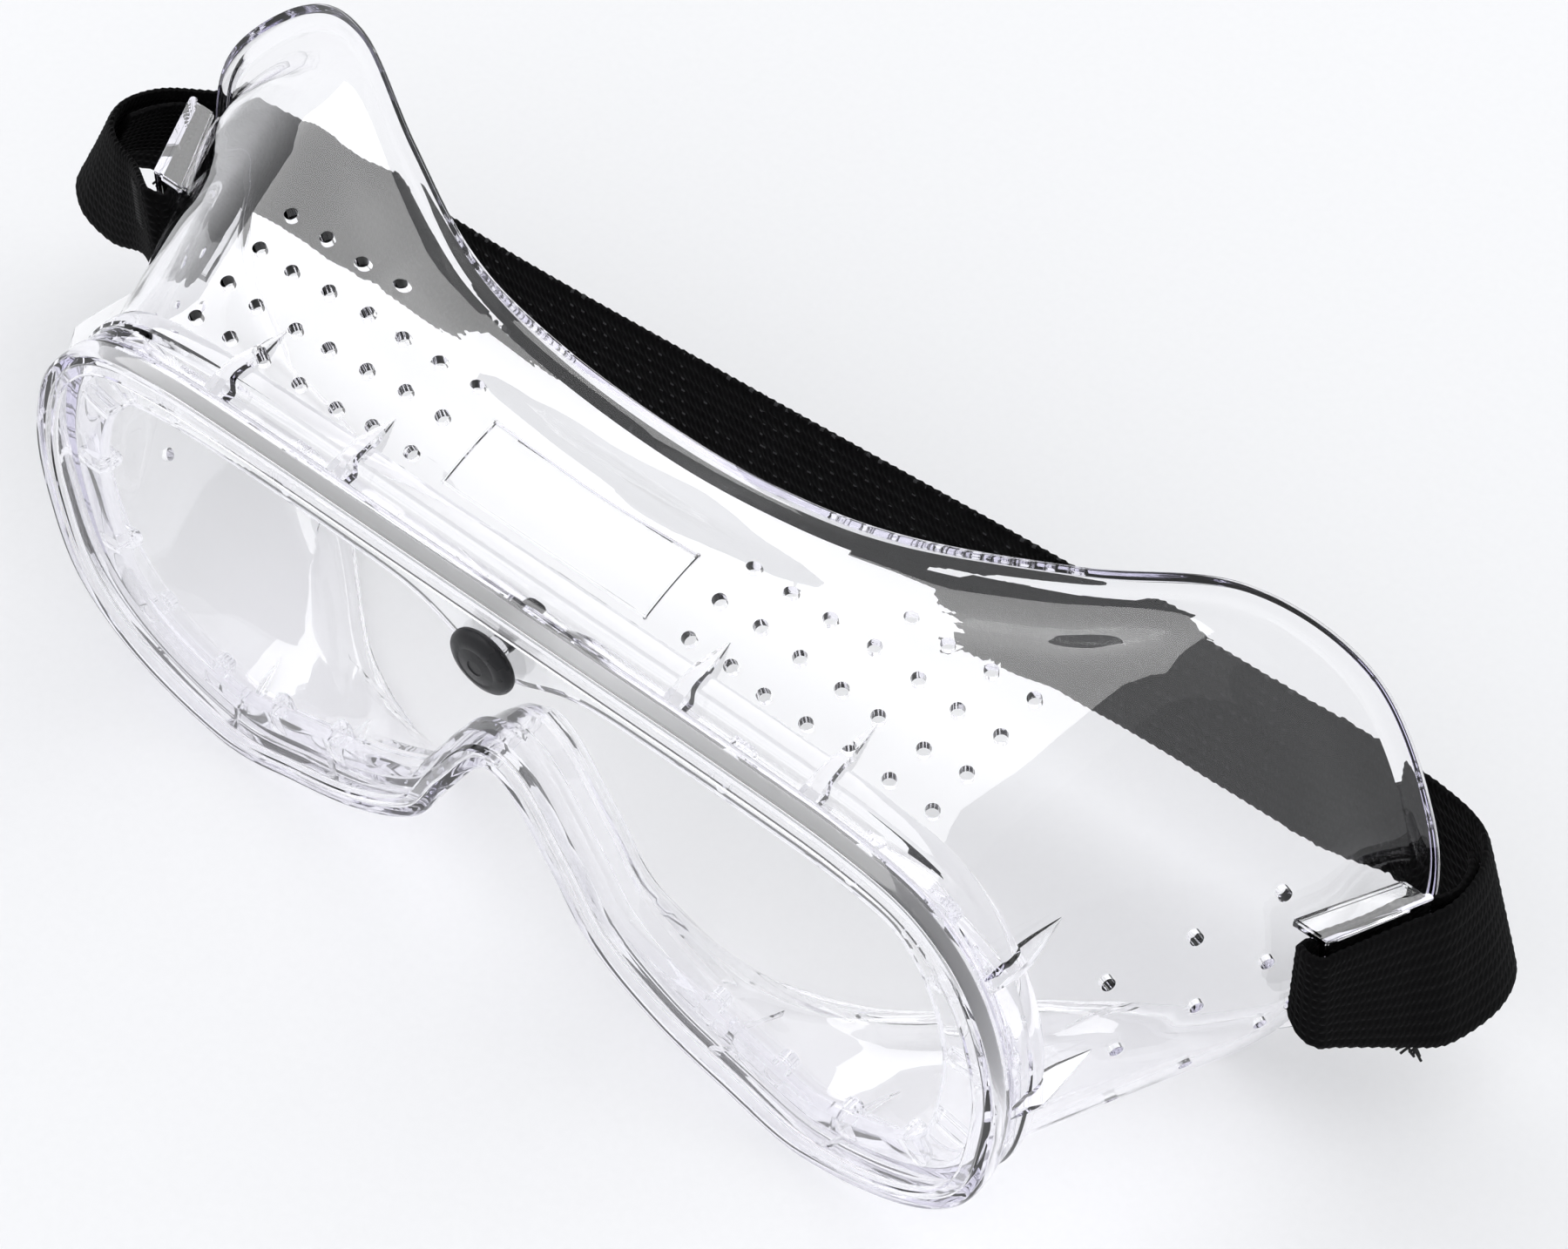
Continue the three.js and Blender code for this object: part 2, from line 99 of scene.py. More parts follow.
def catmull(points, at):
    """Points on the closed Catmull-Rom curve through the given ones, at stations."""
    count = len(points)
    at = np.mod(np.asarray(at, float), count)
    i = np.floor(at).astype(int)
    t = (at - i)[:, None]
    return catmull_piece(t, *(points[(i + k) % count] for k in (-1, 0, 1, 2)))


RIM = whole(RIM_OUTLINE)
FACE = whole(FACE_OUTLINE)


def unit(v):
    return v / np.linalg.norm(v, axis=1, keepdims=True)


def eased(value):
    """0 below 0, 1 above 1, and a smooth step between."""
    t = np.clip(value, 0, 1)
    return t * t * (3 - 2 * t)


def rim_point(s, offset, y):
    """The rim's outline moved outwards by an offset, at depth y."""
    s = np.asarray(s, float)
    p = catmull(RIM, s)
    along = unit(catmull(RIM, s + 0.03) - catmull(RIM, s - 0.03))
    offset = np.broadcast_to(offset, s.shape)
    x, z = p[:, 0] - along[:, 1] * offset, p[:, 1] + along[:, 0] * offset
    return np.stack([x, np.broadcast_to(y, s.shape), z], axis=1)


def rim_along(s):
    """Unit vectors along the rim."""
    return unit(rim_point(s + 0.02, 0, 0) - rim_point(s - 0.02, 0, 0))


def skirt_point(s, depth):
    """The skirt's outer surface: depth 0 at the rim, 1 at the face edge."""
    start = rim_point(s, -SKIRT_INSET, SKIRT_FRONT)
    p = start + (catmull(FACE, s) - start) * depth
    brow = np.clip(1 - (p[:, 0] / SKIRT_CROWN["half_width"]) ** 2, 0, None)
    brow *= p[:, 2] > SKIRT_CROWN["above"]
    p[:, 2] += SKIRT_CROWN["rise"] * depth * (1 - depth) * brow
    p[:, 2] = np.maximum(p[:, 2], TABLE_Z)
    return p


def skirt_frame(s, depth):
    """Unit vectors at a skirt point: outwards, and towards the face."""
    along = skirt_point(s + 0.05, depth) - skirt_point(s - 0.05, depth)
    back = skirt_point(s, min(1, depth + 0.02)) - skirt_point(s, max(0, depth - 0.02))
    return unit(np.cross(along, back)), unit(back)


def lip_width(s):
    """How far the seat behind the lens reaches inwards from the rim's outline."""
    half = np.minimum(s, STATIONS - s)
    nose = eased((half - LIP["nose_from"]) / LIP["nose_blend"])
    x = catmull(RIM, s)[:, 0]
    on_brow = half < LIP["lobe_stations"]
    lobe = LIP["lobe"] * np.exp(-((x / LIP["lobe_x"]) ** 2)) * on_brow
    return LIP["width"] + (LIP["nose_width"] - LIP["width"]) * nose + lobe


# ---------------------------------------------------------------- mesh helpers


def mesh_object(name, vertices, faces, smooth_angle=35):
    """A new object from points in millimetres."""
    mesh = bpy.data.meshes.new(name)
    mesh.from_pydata([tuple(c * MM for c in v) for v in vertices], [], faces)
    mesh.update()
    obj = bpy.data.objects.new(name, mesh)
    bpy.context.scene.collection.objects.link(obj)
    outward(obj)
    smooth(obj, smooth_angle)
    return obj


def outward(obj):
    bm = bmesh.new()
    bm.from_mesh(obj.data)
    bmesh.ops.recalc_face_normals(bm, faces=bm.faces)
    bm.to_mesh(obj.data)
    bm.free()


def smooth(obj, angle):
    obj.data.shade_smooth()
    obj.data.set_sharp_from_angle(angle=math.radians(angle))


def swept(name, rows, closed=True, smooth_angle=35):
    """rows: an array (stations, section points, 3). The section is closed."""
    rows = np.asarray(rows)
    n, m = rows.shape[:2]
    faces = []
    for i in range(n if closed else n - 1):
        for j in range(m):
            a, b = i * m + j, i * m + (j + 1) % m
            c, d = ((i + 1) % n) * m + (j + 1) % m, ((i + 1) % n) * m + j
            faces.append((a, b, c, d))
    if not closed:
        faces.append(tuple(range(m)))
        faces.append(tuple((n - 1) * m + j for j in reversed(range(m))))
    return mesh_object(name, rows.reshape(-1, 3), faces, smooth_angle)


def joined(name, objs):
    bm = bmesh.new()
    for o in objs:
        bm.from_mesh(o.data)
    mesh = bpy.data.meshes.new(name)
    bm.to_mesh(mesh)
    bm.free()
    for o in objs:
        bpy.data.objects.remove(o)
    out = bpy.data.objects.new(name, mesh)
    bpy.context.scene.collection.objects.link(out)
    return out


def boolean(obj, tool, operation):
    """The tool is used up."""
    modifier = obj.modifiers.new("cut", "BOOLEAN")
    modifier.object = tool
    modifier.operation = operation
    modifier.solver = "MANIFOLD"
    bake(obj)
    bpy.data.objects.remove(tool)


def bake(obj):
    bpy.context.view_layer.update()
    graph = bpy.context.evaluated_depsgraph_get()
    mesh = bpy.data.meshes.new_from_object(obj.evaluated_get(graph))
    obj.modifiers.clear()
    obj.data = mesh


def prism_faces(n):
    """Faces between two ends of n points each, with both ends closed."""
    faces = [tuple(range(n)), tuple(range(2 * n - 1, n - 1, -1))]
    return faces + [(i, i + n, (i + 1) % n + n, (i + 1) % n) for i in range(n)]


def prism(outline, place, thickness, bevel=0.0):
    """An outline of 2-D points, placed by place(u, v, w), with w from 0 to thickness."""
    points = [place(u, v, w) for w in (0, thickness) for u, v in outline]
    obj = mesh_object("tool", points, prism_faces(len(outline)))
    if bevel:
        bm = bmesh.new()
        bm.from_mesh(obj.data)
        bmesh.ops.bevel(
            bm, geom=bm.edges[:], offset=bevel * MM, segments=2, affect="EDGES", clamp_overlap=True
        )
        bm.to_mesh(obj.data)
        bm.free()
    return obj


def rod(start, end, radius, sides=20):
    start, end = np.array(start, float), np.array(end, float)
    axis = (end - start) / np.linalg.norm(end - start)
    side = np.cross(axis, (0, 0, 1) if abs(axis[2]) < 0.9 else (1, 0, 0))
    side /= np.linalg.norm(side)
    other = np.cross(axis, side)
    turn = np.arange(sides) * 2 * math.pi / sides
    ring = np.outer(np.cos(turn), side) * radius + np.outer(np.sin(turn), other) * radius
    return swept("tool", [ring + start, ring + end], closed=False)


# ---------------------------------------------------------------- clear frame

FRONT_BEAD = [
    (-3.1, -1.15), (-2.9, -1.3), (-1.0, -1.3), (-0.45, -1.18), (-0.12, -0.85), (0, -0.4), (0, 1.7),
    (-0.12, 2.2), (-0.45, 2.55), (-0.95, 2.7), (-2.2, 2.85), (-2.5, 3.1),
]
REAR_BEAD = [
    (-2.5, 4.9), (-2.25, 5.2), (-1.0, 5.3), (-0.5, 5.45), (-0.22, 5.8), (-0.15, 6.3), (-0.2, 7.4),
    (-0.45, 8.1), (-0.95, 8.5),
]
# Between the two beads. It turns shallow past the brow.
CHANNEL = {
    "depth": 2.5, "at_sides": 0.5, "from_station": 3.0, "blend": 1.2, "from_y": 2, "to_y": 6,
}
# The skirt dips by this much before its face edge turns outwards.
GUTTER = {"depth": 2.0, "from_edge": 5.0, "run": 9.0}
EDGE_BEAD = {"height": 0.75, "width": 2.4, "blend": 0.8}  # the thick edge that meets the face
SHORT_SKIRT = {"length": 4, "blend": 18}  # the nose has hardly any skirt to turn out
# Where the skirt's section is drawn, from the rim (0) to its face edge (1).
SKIRT_DEPTHS = [
    0.04, 0.1, 0.18, 0.26, 0.34, 0.42, 0.5, 0.56, 0.62, 0.67, 0.72, 0.76, 0.8, 0.84, 0.87,
    0.9, 0.915, 0.93, 0.94, 0.95, 0.96, 0.97, 0.98, 0.99, 1,
]
# The rounded end of the skirt's wall: (share of the wall inwards, distance past the edge).
EDGE_ROUND = ((0.05, 0.2), (0.14, 0.3), (0.5, 0.34), (0.86, 0.3), (0.95, 0.2))


def gutter(from_edge):
    """How far the skirt lies inside its straight line, at a distance from its face edge."""
    near = 1 - (1 - np.clip(from_edge / GUTTER["from_edge"], 0, 1)) ** 2
    far = eased((from_edge - GUTTER["from_edge"]) / GUTTER["run"])
    return GUTTER["depth"] * near * (1 - far)


def bead(from_edge):
    """How far the face edge's bead stands out, at a distance from the edge."""
    return EDGE_BEAD["height"] * eased((EDGE_BEAD["width"] - from_edge) / EDGE_BEAD["blend"])


def channel_depth(s):
    """The channel between the beads is deep along the brow and shallow round the rest."""
    half = np.minimum(s, STATIONS - s)
    fade = eased((half - CHANNEL["from_station"]) / CHANNEL["blend"])
    return CHANNEL["depth"] + (CHANNEL["at_sides"] - CHANNEL["depth"]) * fade


def frame_shell():
    """The rim and skirt, from one closed section at each station."""
    s = np.arange(COLUMNS) * STATIONS / COLUMNS
    length = np.linalg.norm(skirt_point(s, 1) - skirt_point(s, 0), axis=1)
    reach = np.clip((length - SHORT_SKIRT["length"]) / SHORT_SKIRT["blend"], 0, 1)
    lip = lip_width(s)
    floor = -channel_depth(s)
    section = []
    for offset, y in FRONT_BEAD + REAR_BEAD:
        if CHANNEL["from_y"] < y < CHANNEL["to_y"]:
            offset = np.maximum(offset, floor)
        section.append(rim_point(s, offset, y))
    inner = []
    for depth in SKIRT_DEPTHS:
        out, back = skirt_frame(s, depth)
        from_edge = (1 - depth) * length
        raised = bead(from_edge) * reach
        p = skirt_point(s, depth) + out * (raised - gutter(from_edge) * reach)[:, None]
        p[:, 2] = np.maximum(p[:, 2], TABLE_Z)
        wall = (WALL + raised)[:, None]
        section.append(p)
        inner.append(p - out * wall)
        if depth == 1:
            for inwards, past in EDGE_ROUND:
                edge = p - out * wall * inwards + back * past
                edge[:, 2] = np.maximum(edge[:, 2], TABLE_Z)
                section.append(edge)
    section += inner[::-1]
    # Inside the rim: the skirt's foot, the seat behind the lens, and the lens's groove.
    section += [
        rim_point(s, -2.9, 7.6), rim_point(s, -3.2, 6.2), rim_point(s, -3.9, 4.9),
        rim_point(s, -4.3, 4.4), rim_point(s, -lip + 0.8, 4.1), rim_point(s, -lip + 0.25, 3.9),
        rim_point(s, -lip, 3.5), rim_point(s, -lip, 2.5), rim_point(s, -lip + 0.25, 2.05),
        rim_point(s, -1.62, 2.0), rim_point(s, -1.62, -0.1), rim_point(s, -2.9, -0.1),
        rim_point(s, -3.1, -0.35),
    ]
    return swept("goggle_frame", np.stack(section, axis=1))


def fin(station, tip_y, height, half_width=0.95, ridge=0.45):
    """A wedge across the channel that runs back along the skirt to a point."""
    s = np.array([station])
    along = rim_along(s)[0]
    out = skirt_frame(s, 0.2)[0][0]
    tip = skirt_at(station, tip_y)
    # Outline of the wedge's side, from its foot in the rim round to its tip:
    # (point, half width there).
    side = [
        (rim_point(s, -2.8, 2.4)[0], half_width),
        (rim_point(s, -0.3, 2.3)[0], half_width),
        (rim_point(s, 0.3, 3.4)[0], 0.9 * half_width),
        (rim_point(s, height, 5.6)[0], ridge * half_width),
        (rim_point(s, height, 7.2)[0], ridge * half_width),
        (tip + out * 0.12, 0.06),
        (tip - out * 0.6, 0.06),
        (rim_point(s, -2.8, 7)[0], half_width),
    ]
    points = np.array([p - along * w for p, w in side] + [p + along * w for p, w in side])
    points[:, 2] = np.maximum(points[:, 2], TABLE_Z)
    return mesh_object("tool", points, prism_faces(len(side)))


def skirt_at(station, y):
    """The skirt's outer point at a station and depth y in millimetres."""
    s = np.array([station])
    low, high = 0.0, 1.0
    for _ in range(24):
        middle = (low + high) / 2
        if skirt_point(s, middle)[0][1] < y:
            low = middle
        else:
            high = middle
    return skirt_point(s, low)[0]


def station_of(x):
    """The brow station whose rim point has this x."""
    grid = np.linspace(-4.5, 4.5, 901)
    return grid[np.argmin(abs(catmull(RIM, grid)[:, 0] - x))]


PAD = {"inset": 6.4, "from_y": 3.4, "deep": 5.2, "half_width": 1.3, "height": 2.3, "bevel": 0.3}


def seat_pad(station):
    """A small rounded pad on the seat behind the lens."""
    s = np.array([station])
    centre = rim_point(s, -PAD["inset"], PAD["from_y"])[0]
    along = rim_along(s)[0]
    out = np.cross(along, (0, 1, 0))
    out = out / np.linalg.norm(out)
    radius, straight = PAD["half_width"], PAD["deep"] / 2 - PAD["half_width"]
    sides = 16
    outline = []
    for k in range(sides):
        angle = k * math.tau / sides
        v = radius * math.sin(angle) + math.copysign(straight, math.sin(angle))
        outline.append((radius * math.cos(angle), v))

    def place(u, v, w):
        return centre + along * u + out * v + np.array((0, w, 0))

    return prism(outline, place, PAD["height"], PAD["bevel"])


# "step" keeps the shelves' faces off the plate's ends.
LUG = {
    "front": 35.9, "back": 48.4, "top": -0.3, "bottom": -17.4, "shelf": 1.5, "plate": 1.2,
    "bevel": 0.12, "top_bevel": 0.3, "step": 0.05,
}
LUG_SLOT = (2.8, 1.9)  # at the front and at the back
LUG_STATION = 7


def wall_x(y):
    """x of the skirt's outside beside the lug, at depth y."""
    front = rim_point([LUG_STATION], -SKIRT_INSET, 0)[0][0]
    face = FACE_OUTLINE[LUG_STATION]
    return front + (face[0] - front) * (y - SKIRT_FRONT) / (face[1] - SKIRT_FRONT)


def lug(side):
    """A plate beside the skirt on two shelves, so the strap's slot is between them."""
    front, back = LUG["front"], LUG["back"]
    x0, x1 = wall_x(front) + LUG_SLOT[0], wall_x(back) + LUG_SLOT[1]
    plate = [
        (x0, front + 0.3), (x0 + 0.3, front), (x0 + 1.0, front), (x0 + 1.2, front + 0.3),
        (x1 + 1.2, back - 0.4), (x1 + 0.9, back), (x1 + 0.3, back), (x1, back - 0.4),
    ]
    shelf = [
        (wall_x(front) - 1, front + 0.1), (x0 + 0.5, front + 0.1), (x1 + 0.5, back - 0.3),
        (wall_x(back) - 1, back - 0.3),
    ]

    def flat(z):
        return lambda u, v, w: np.array((side * u, v, z + w))

    top, bottom, thick = LUG["top"], LUG["bottom"], LUG["shelf"] - LUG["step"]
    return [
        prism(plate, flat(bottom), top - bottom, LUG["bevel"]),
        prism(shelf, flat(top - LUG["shelf"]), thick, LUG["top_bevel"]),
        prism(shelf, flat(bottom + LUG["step"]), thick, LUG["bevel"]),
    ]


def brow_z(x, y):
    """Height of the brow's outer surface over a point."""
    return skirt_at(station_of(x), y)[2]


PLAQUE = {
    "half_width": 14.8, "front": 9.6, "back": 18.5,
    "rib": 0.4, "rise": 0.28, "sunk": 0.3, "taper": 0.6, "step": 1.5,
}


def plaque():
    """A blank outlined label area on the brow: four low ribs."""
    ribs = []
    half_width, front, back = PLAQUE["half_width"], PLAQUE["front"], PLAQUE["back"]
    half, taper = PLAQUE["rib"] / 2, PLAQUE["taper"]
    rise, sunk = PLAQUE["rise"], PLAQUE["sunk"]
    corners = [
        (-half_width, front), (half_width, front), (half_width, back), (-half_width, back),
    ]
    for (xa, ya), (xb, yb) in zip(corners, corners[1:] + corners[:1]):
        length = math.hypot(xb - xa, yb - ya)
        ux, uy = (xb - xa) / length, (yb - ya) / length
        steps = max(3, round(length / PLAQUE["step"]))
        rows = []
        for k in range(steps + 1):
            d = -half + (length + 2 * half) * k / steps
            x, y = xa + ux * d, ya + uy * d
            z = brow_z(x, y)
            nx, ny = -uy * half, ux * half
            rows.append([
                (x - nx, y - ny, z - sunk), (x + nx, y + ny, z - sunk),
                (x + nx * taper, y + ny * taper, z + rise),
                (x - nx * taper, y - ny * taper, z + rise),
            ])
        ribs.append(swept("tool", rows, closed=False))
    return ribs


TOP_VENTS = {"x": 20.4, "dx": 5.67, "y": 10.1, "dy": 5.55, "columns": 7}
TOP_VENT_ROWS = (0, 0, 0, 3)  # first column used in each row
# (y, z, pitch along y, rise from vent to vent)
SIDE_VENT_ROWS = ((16.4, -0.2, 9.2, 2.05), (16.7, -12.9, 8.4, 3.25), (18.7, -28.1, 7.6, 4.4))
SIDE_VENT_COLUMNS = 3
SIDE_WALL = (67.2, 0.502)  # its x at y = 0, and how much x grows with y
VENT_RADIUS = 0.85


def skirt_near(x, y, z):
    """The skirt's outer point and outward vector nearest to a rough place.

    Without z, it is the brow's point over x, y.
    """
    s, depth = np.meshgrid(np.linspace(-9, 9, 361), np.linspace(0, 1, 41), indexing="ij")
    columns = range(depth.shape[1])
    points = np.stack([skirt_point(s[:, k], depth[0, k]) for k in columns], axis=1)
    weight = np.array((1, 1, 0.0 if z is None else 1))
    gap = ((points - np.array((x, y, z or 0))) * weight) ** 2
    below_brow = points[:, :, 2] < 8
    gap = gap.sum(axis=2) + below_brow * (1e6 if z is None else 0)
    i, k = np.unravel_index(np.argmin(gap), gap.shape)
    return points[i, k], skirt_frame(s[i : i + 1, k], depth[0, k])[0][0]


def vent_rod(at, out):
    return rod(at - out * 4, at + out * 2, VENT_RADIUS)


def vent_rods():
    rods = []
    for side in (-1, 1):
        for row, first in enumerate(TOP_VENT_ROWS):
            for column in range(first, TOP_VENTS["columns"]):
                x = side * (TOP_VENTS["x"] + TOP_VENTS["dx"] * column)
                y = TOP_VENTS["y"] + TOP_VENTS["dy"] * row
                rods.append(vent_rod(*skirt_near(x, y, None)))
        for y, z, pitch, rise in SIDE_VENT_ROWS:
            for column in range(SIDE_VENT_COLUMNS):
                vent_y = y + pitch * column
                vent_x = side * (SIDE_WALL[0] + SIDE_WALL[1] * vent_y)
                rods.append(vent_rod(*skirt_near(vent_x, vent_y, z + rise * column)))
    return rods


BROW_FINS = ((24.75, 12.4), (43.7, 14.4))  # (x, y of the tip)
BROW_FIN = {"height": 0.9, "half_width": 1.15, "ridge": 0.75}
# (station, y of the tip, height)
SIDE_FINS = ((5.05, 14, 1.7), (6.75, 14, 1.6), (9.9, 13.5, 1.3), (11.3, 12, 1.3))
PAD_STATIONS = (1.9, 3.1, 4.3, 5.2, 6.4, 7.6, 8.7, 9.6, 10.7, 11.6)


def build_frame():
    shell = frame_shell()
    for x, tip in BROW_FINS:
        for side in (-1, 1):
            boolean(shell, fin(station_of(side * x), tip, **BROW_FIN), "UNION")
    for station, tip, height in SIDE_FINS:
        for side in (-1, 1):
            boolean(shell, fin(side * station, tip, height), "UNION")
    for station in PAD_STATIONS:
        for side in (-1, 1):
            boolean(shell, seat_pad(side * station), "UNION")
    for side in (-1, 1):
        for piece in lug(side):
            boolean(shell, piece, "UNION")
    for rib in plaque():
        boolean(shell, rib, "UNION")
    boolean(shell, joined("tool", vent_rods()), "DIFFERENCE")
    boolean(shell, rod((0, 0, STUD_Z), (0, 9, STUD_Z), STUD_HOLE_RADIUS, 32), "DIFFERENCE")
    smooth(shell, 30)
    return shell


# ---------------------------------------------------------------- lens and stud

LENS_INSET = 1.7  # from the rim's outline to the lens's edge
# The lens's rounded edge, from its front to its back: (offset, y).
LENS_EDGE = (
    (-1.95, 0), (-1.75, 0.08), (-LENS_INSET, 0.25),
    (-LENS_INSET, 1.55), (-1.75, 1.72), (-1.95, 1.8),
)
MATT_EDGE_REACH = 0.22  # points this close to the edge are matt
# The stud's outline, from its stem's end to the middle of its head: (radius, y).
STUD_PROFILE = [
    (0, 6.6), (0.8, 6.6), (1.2, 6.2), (1.3, 5.6), (1.3, 0.2), (1.5, -0.1), (3.6, -0.12),
    (4.1, -0.2), (4.38, -0.42), (4.49, -0.72), (4.5, -0.86), (4.45, -0.9), (4.5, -0.94),
    (4.47, -1.2), (4.3, -1.52), (3.95, -1.78), (3.4, -1.98), (2.75, -2.14), (2.62, -2.08),
    (2.5, -2.1), (1.7, -2.22), (1.1, -2.28), (1.0, -2.16), (0.35, -2.17), (0, -2.17),
]


def build_lens():
    s = np.arange(COLUMNS) * STATIONS / COLUMNS
    rings = [rim_point(s, offset, y) for offset, y in LENS_EDGE]
    n, count = COLUMNS, len(rings)
    faces = [tuple(range(n)), tuple(range(count * n - 1, (count - 1) * n - 1, -1))]
    for ring in range(count - 1):
        for i in range(n):
            a, b = ring * n + i, ring * n + (i + 1) % n
            faces.append((a, a + n, b + n, b))
    lens = mesh_object("lens_plate", np.concatenate(rings), faces)
    boolean(lens, rod((0, -2, STUD_Z), (0, 4, STUD_Z), STUD_HOLE_RADIUS, 32), "DIFFERENCE")
    smooth(lens, 12)
    # The moulded edge is matt: this marks its points.
    matt = lens.data.attributes.new("matt_edge", "FLOAT", "POINT")
    points = np.array([tuple(v.co) for v in lens.data.vertices]) / MM
    edge = rim_point(s, -LENS_INSET, 0)
    gaps = np.linalg.norm(points[:, None, ::2] - edge[None, :, ::2], axis=2)
    matt.data.foreach_set("value", (gaps.min(axis=1) < MATT_EDGE_REACH).astype(float))
    return lens


def build_stud():
    sides = 72
    vertices, faces = [(0, STUD_PROFILE[0][1], STUD_Z)], []
    for r, y in STUD_PROFILE[1:-1]:
        for k in range(sides):
            angle = math.tau * k / sides
            vertices.append((r * math.cos(angle), y, STUD_Z + r * math.sin(angle)))
    vertices.append((0, STUD_PROFILE[-1][1], STUD_Z))
    last = len(vertices) - 1
    for k in range(sides):
        faces.append((0, 1 + k, 1 + (k + 1) % sides))
        faces.append((last, last - sides + (k + 1) % sides, last - sides + k))
    for ring in range(len(STUD_PROFILE) - 3):
        for k in range(sides):
            a, b = 1 + ring * sides + k, 1 + ring * sides + (k + 1) % sides
            faces.append((a, a + sides, b + sides, b))
    return mesh_object("stud_button", vertices, faces, 40)


# ---------------------------------------------------------------- strap

# The outer run's top rides up over the lug's plate. The webbing is gathered in the slot, so its
# bottom edge is at "fold" there, at "turn" after a whole turn, and then spreads to full width.
STRAP = {
    "thickness": 1.2, "top": -2.2, "over_lug": -0.9, "bottom": -25.8,
    "fold": -15.5, "turn": -19.5, "turn_radius": 2,
}


def upright(x, y, bottom=STRAP["bottom"]):
    return ((x, y, STRAP["top"]), (x, y, bottom))


def leaning(top, bottom, bottom_z=STRAP["bottom"]):
    return ((*top, STRAP["top"]), (*bottom, bottom_z))


def folded_end(side, steps):
    """Through the lug's slot, then round the front of its plate in quarters of a half turn."""
    fold = [
        upright(side * (wall_x(47) + LUG_SLOT[1] / 2), 47, STRAP["fold"]),
        upright(side * (wall_x(42) + LUG_SLOT[0] / 2 + 0.1), 42, STRAP["fold"]),
    ]
    centre = wall_x(LUG["front"]) + LUG_SLOT[0] + LUG["plate"] / 2
    radius = STRAP["turn_radius"]
    for i in range(steps + 1):
        angle = math.pi + math.pi * i / 4
        bottom = STRAP["fold"] + (STRAP["turn"] - STRAP["fold"]) * i / 4
        x = side * (centre + radius * math.cos(angle))
        y = LUG["front"] - 0.2 + radius * math.sin(angle)
        top = STRAP["top"] + (STRAP["over_lug"] - STRAP["top"]) * min(1, i / 2)
        fold.append(((x, y, top), (x + side * 0.2 * i, y + 0.3 * i, bottom)))
    return fold


def raised(station, top_z=STRAP["over_lug"]):
    return ((*station[0][:2], top_z), station[1])


def tail(points):
    """The sewn tail that comes out of the slot's rear end: (top x, y, bottom x, y)."""
    top, bottom = STRAP["top"] - 0.7, STRAP["fold"] + 0.6
    return [((a, b, top), (c, d, bottom)) for a, b, c, d in points]


RIGHT_TAIL = tail([
    (93.2, 57.6, 96.6, 58.4), (94.4, 56, 97.4, 56.6), (95, 53, 97.3, 53),
    (94.5, 51, 95.9, 51), (93.2, 49.2, 93.6, 49.2),
])
LEFT_TAIL = tail([
    (-99.9, 42.4, -106.4, 42.6), (-98.6, 45.4, -104.6, 46), (-96.4, 48, -100.4, 49),
    (-93.7, 48.7, -94.6, 49.3),
])

# From the tail's end, through the slot and round the lug, to the middle of the free band.
RIGHT_HALF = RIGHT_TAIL + folded_end(1, 4) + [
    raised(leaning((92.4, 39.8), (94.4, 42), -22.5)),
    raised(leaning((94, 43.5), (96.2, 45.2), -24.5)),
    raised(leaning((96.3, 49.5), (99.1, 49.5)), -1.4),
    leaning((95.6, 56.2), (100.6, 57.4)), leaning((92.3, 60.6), (98, 63)),
    leaning((85.8, 62.2), (89.5, 64.3)), leaning((78, 62.3), (79, 63)), upright(70, 62),
    upright(35.9, 60.6), upright(-8.8, 57.5),
]
LEFT_HALF = LEFT_TAIL + folded_end(-1, 2) + [
    leaning((-93.6, 36.6), (-96, 38), -21.5), leaning((-97.4, 37.6), (-103, 38.9), -25),
    leaning((-100.6, 39.9), (-109.4, 40), -24.3), leaning((-101.6, 43.6), (-112.6, 43.6), -23),
    leaning((-99.8, 47.4), (-109, 49.5), -23.6), leaning((-96, 50.4), (-101.5, 53), -24.6),
    leaning((-90, 53.8), (-92.5, 54.8)), upright(-82, 55), upright(-70, 54.8), upright(-45, 55.2),
    upright(-8.8, 57.5),
]
PICK = 0.42  # step along the strap between mesh rows
RIBS = 11  # lengthwise cords across the strap
# How much the cords and the crossing weft stand out, and how the woven edges reach outwards.
WEAVE = {"cord": 0.17, "weft": 0.035, "ground": 0.2, "edge": 0.12, "scallop": 0.16}
UV_METRES = 0.01  # length of strap for one step of the texture's U


def resample(points, step):
    """Even steps along an open Catmull-Rom curve through (top edge, bottom edge) pairs."""
    points = np.array(points, float).reshape(len(points), 6)
    ends = np.vstack([2 * points[0] - points[1], points, 2 * points[-1] - points[-2]])
    fine = []
    for i in range(len(points) - 1):
        t = np.linspace(0, 1, 60, endpoint=False)[:, None]
        fine.append(catmull_piece(t, *ends[i : i + 4]))
    fine = np.vstack(fine + [points[-1:]])
    middle = (fine[:, :3] + fine[:, 3:]) / 2
    run = np.concatenate([[0], np.cumsum(np.linalg.norm(np.diff(middle, axis=0), axis=1))])
    at = np.linspace(0, run[-1], max(2, round(run[-1] / step)) + 1)
    return np.stack([np.interp(at, run, fine[:, k]) for k in range(6)], axis=1), at


